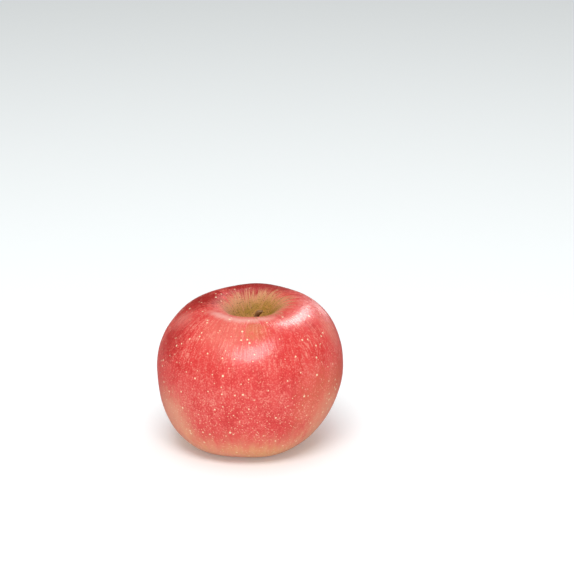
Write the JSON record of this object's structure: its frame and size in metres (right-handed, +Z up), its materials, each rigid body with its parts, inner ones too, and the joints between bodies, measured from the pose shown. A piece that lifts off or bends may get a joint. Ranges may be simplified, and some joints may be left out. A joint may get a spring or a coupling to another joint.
{
  "type": "apple",
  "caption": "Whole red apple with a ribbed rim, a russet stem cavity, a short bent stem and dried sepals in the basin underneath.",
  "frame": {"origin": "middle of the footprint, on the surface that the apple stands on", "axes": "+Z up along the core, from the calyx basin to the stem; -Y the front; +X to the right, seen from the front"},
  "size_m": [0.0862, 0.085, 0.0697],
  "materials": {
    "skin": "waxy, softly glossy",
    "bark": "dry, rough",
    "dried_sepal": "dry, downy",
    "dried_stamen": "dry, matt"
  },
  "bodies": {
    "root": {"fruit": "skin", "stem": "bark", "sepal_1": "dried_sepal", "sepal_2": "dried_sepal", "sepal_3": "dried_sepal", "sepal_4": "dried_sepal", "sepal_5": "dried_sepal", "stamens": "dried_stamen"}
  },
  "joints": []
}
